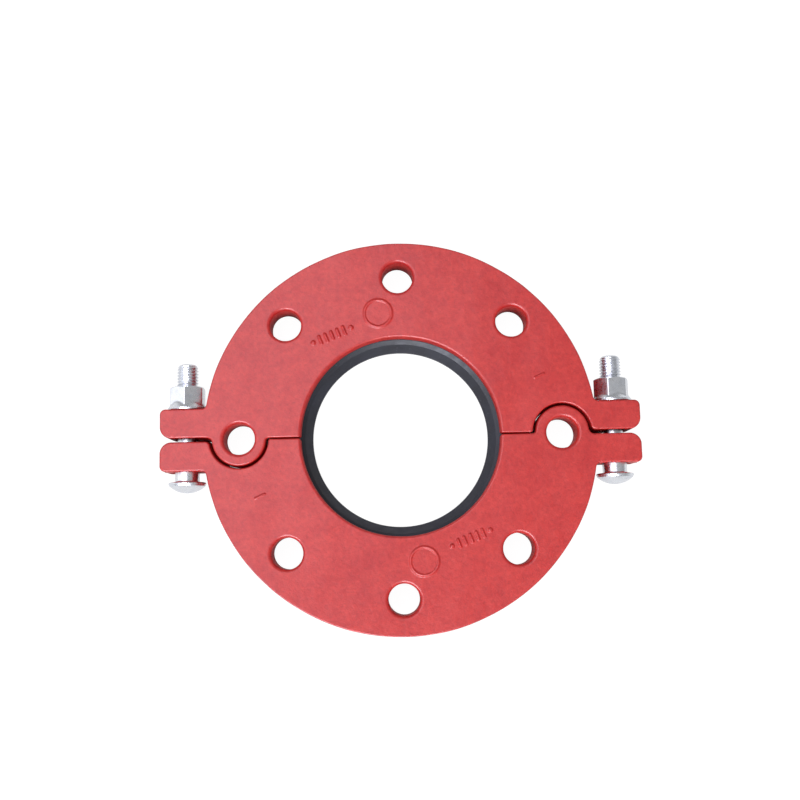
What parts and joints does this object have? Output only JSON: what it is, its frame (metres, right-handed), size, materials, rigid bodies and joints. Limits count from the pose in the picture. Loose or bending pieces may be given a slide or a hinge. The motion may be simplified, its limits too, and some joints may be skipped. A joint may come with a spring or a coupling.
{
  "type": "grooved split-flange adapter",
  "caption": "Split ring flange that clamps a grooved pipe end and bolts to a flat flange, with a rubber ring gasket and ear bolts.",
  "frame": {"origin": "pipe axis in the plane of the mating face", "axes": "+Z along the pipe axis, from the mating face towards the pipe; X through the two ears; clamping bolts parallel to Y with their threaded ends towards +Y"},
  "size_m": [0.268, 0.22, 0.0247],
  "materials": {
    "red_paint": "semi-gloss red paint over a sand-cast ductile iron surface",
    "epdm": "matt black moulded rubber",
    "zinc_steel": "bright zinc-plated steel"
  },
  "bodies": {
    "upper_half": {"upper_half": "red_paint"},
    "lower_half": {"lower_half": "red_paint"},
    "gasket": {"gasket": "epdm"},
    "left_bolt": {"left_bolt": "zinc_steel"},
    "right_bolt": {"right_bolt": "zinc_steel"},
    "left_nut": {"left_nut": "zinc_steel"},
    "right_nut": {"right_nut": "zinc_steel"}
  },
  "joints": [
    {"name": "lower_half_open", "type": "slide", "parent": "upper_half", "child": "lower_half", "axis": [0, -1, 0], "range_m": [0, 0.12]},
    {"name": "gasket_free", "type": "slide", "parent": "upper_half", "child": "gasket", "axis": [0, -1, 0], "range_m": [0, 0.06]},
    {"name": "left_nut_turn", "type": "hinge", "parent": "upper_half", "child": "left_nut", "pos_m": [-0.1203, 0.024, 0.01275], "axis": [0, 1, 0], "range_deg": [-902, 2522]},
    {"name": "right_nut_turn", "type": "hinge", "parent": "upper_half", "child": "right_nut", "pos_m": [0.1203, 0.024, 0.01275], "axis": [0, 1, 0], "range_deg": [-902, 2522]},
    {"name": "left_bolt_feed", "type": "slide", "parent": "lower_half", "child": "left_bolt", "axis": [0, -1, 0], "range_m": [-0.00438, 0.01225]},
    {"name": "right_bolt_feed", "type": "slide", "parent": "lower_half", "child": "right_bolt", "axis": [0, -1, 0], "range_m": [-0.00438, 0.01225]}
  ],
  "couplings": [
    {"joint": "gasket_free", "follows": "lower_half_open", "ratio": 0.5},
    {"joint": "left_nut_turn", "follows": "left_bolt_feed", "rad_per_m": 3590.4},
    {"joint": "right_nut_turn", "follows": "right_bolt_feed", "rad_per_m": 3590.4}
  ]
}
